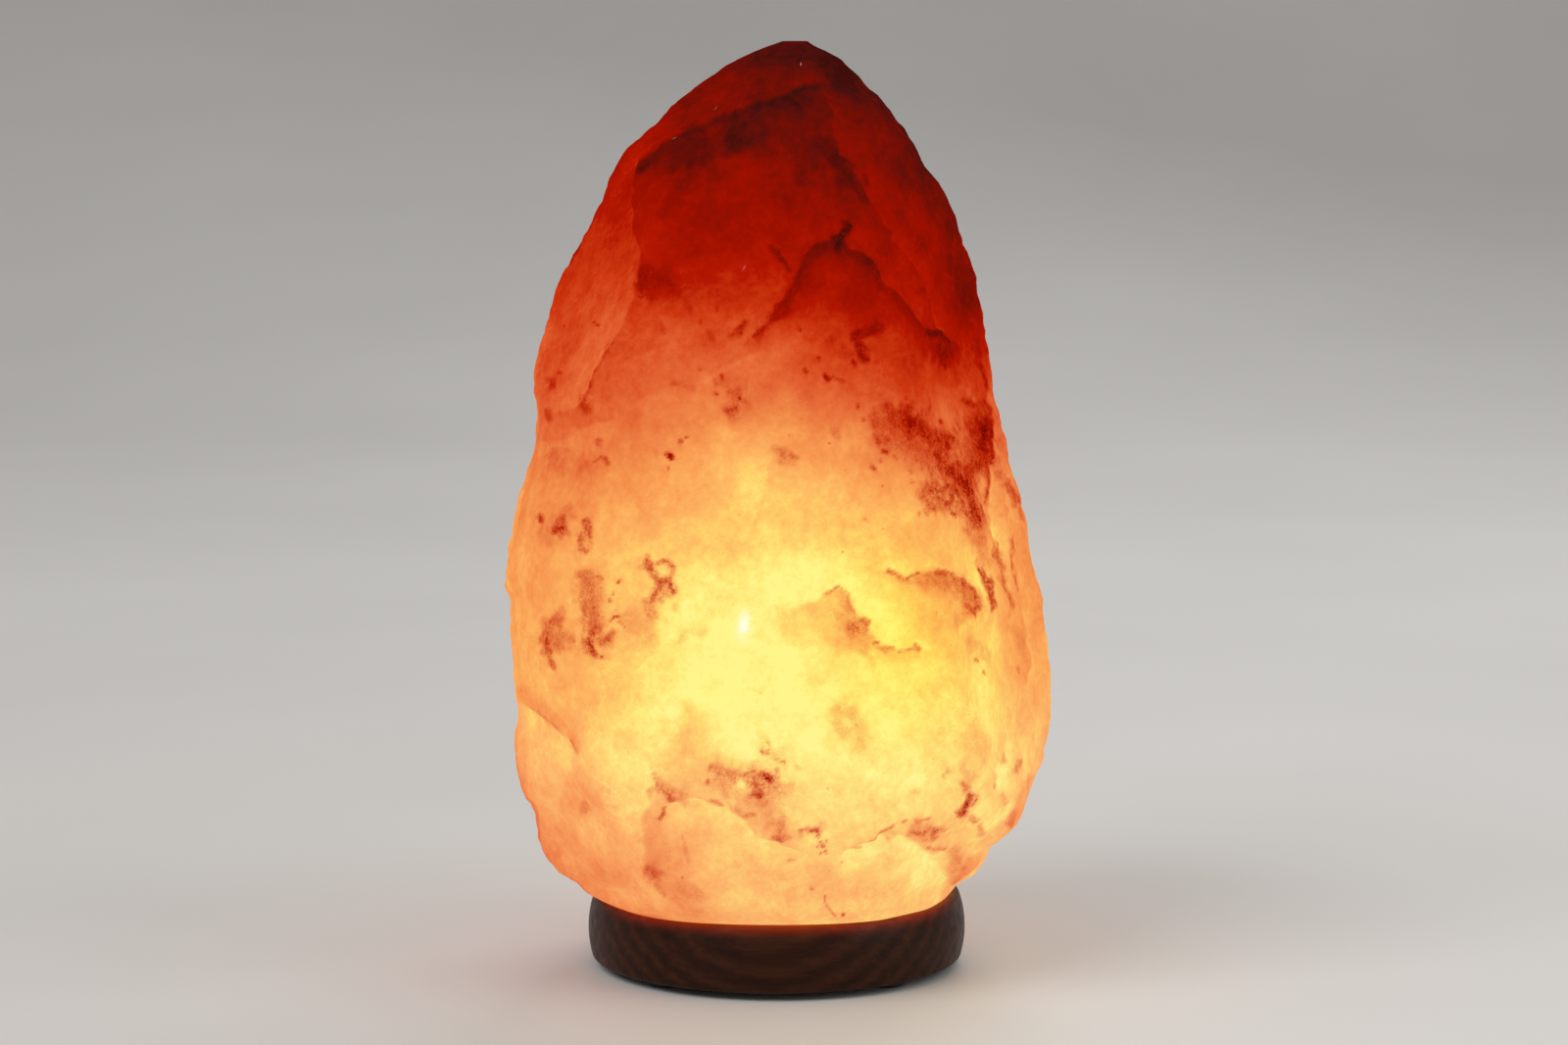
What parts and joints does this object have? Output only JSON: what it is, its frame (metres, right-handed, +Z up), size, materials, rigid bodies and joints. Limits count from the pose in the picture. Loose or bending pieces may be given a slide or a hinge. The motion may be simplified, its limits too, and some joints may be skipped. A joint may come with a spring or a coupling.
{
  "type": "rock salt table lamp",
  "caption": "Table lamp: an irregular glowing rock-salt crystal on a round dark wooden base, with a clip-in lampholder and a screw-in candle bulb that come out from below.",
  "frame": {"origin": "on the table plane under the middle of the wooden base, at the bottom of the rubber feet", "axes": "+Z up, front of the lamp towards -Y, cord slot of the base towards +Y, +X to the right seen from the front"},
  "size_m": [0.1444, 0.1279, 0.243],
  "materials": {
    "foot_rubber": "matte black rubber",
    "dark_wood": "very dark brown turned wood, satin lacquer",
    "rock_salt": "rough translucent orange rock salt, lit from inside",
    "zinc_steel": "zinc-plated steel",
    "holder_plastic": "ivory heat-resistant plastic",
    "holder_ceramic": "unglazed white ceramic",
    "brass": "plain brass",
    "spring_steel": "bright spring steel",
    "solder": "dull solder",
    "vitrite": "black glass insulator",
    "bulb_aluminium": "bright rolled aluminium",
    "clear_glass": "clear thin glass",
    "stem_glass": "clear thick glass",
    "nickel_wire": "nickel wire",
    "tungsten": "glowing coiled filament"
  },
  "bodies": {
    "base": {"rubber_feet": "foot_rubber", "wood_base": "dark_wood", "salt_crystal": "rock_salt", "crystal_screws": "zinc_steel"},
    "lampholder": {"holder_cap": "holder_plastic", "holder_sleeve": "holder_plastic", "holder_core": "holder_ceramic", "centre_contact": "brass", "screw_shell": "brass", "contact_rivets": "brass", "terminal_blocks": "brass", "terminal_screws": "zinc_steel", "holder_clip": "spring_steel"},
    "bulb_contact": {"bulb_contact": "solder"},
    "bulb": {"bulb_insulator": "vitrite", "bulb_cap": "bulb_aluminium", "bulb_glass": "clear_glass", "bulb_stem": "stem_glass", "bulb_lead_wires": "nickel_wire", "bulb_support_wire": "nickel_wire", "bulb_filament": "tungsten"}
  },
  "joints": [
    {"name": "holder_pull_out", "type": "slide", "parent": "base", "child": "lampholder", "axis": [0, 0, -1], "range_m": [0, 0.128]},
    {"name": "bulb_rise", "type": "slide", "parent": "lampholder", "child": "bulb_contact", "axis": [0, 0, 1], "range_m": [0, 0.01129]},
    {"name": "bulb_turn", "type": "hinge", "parent": "bulb_contact", "child": "bulb", "pos_m": [0, 0, 0.035], "axis": [0, 0, 1], "range_deg": [0, 1440]}
  ],
  "couplings": [
    {"joint": "bulb_turn", "follows": "bulb_rise", "rad_per_m": 2226.5}
  ]
}
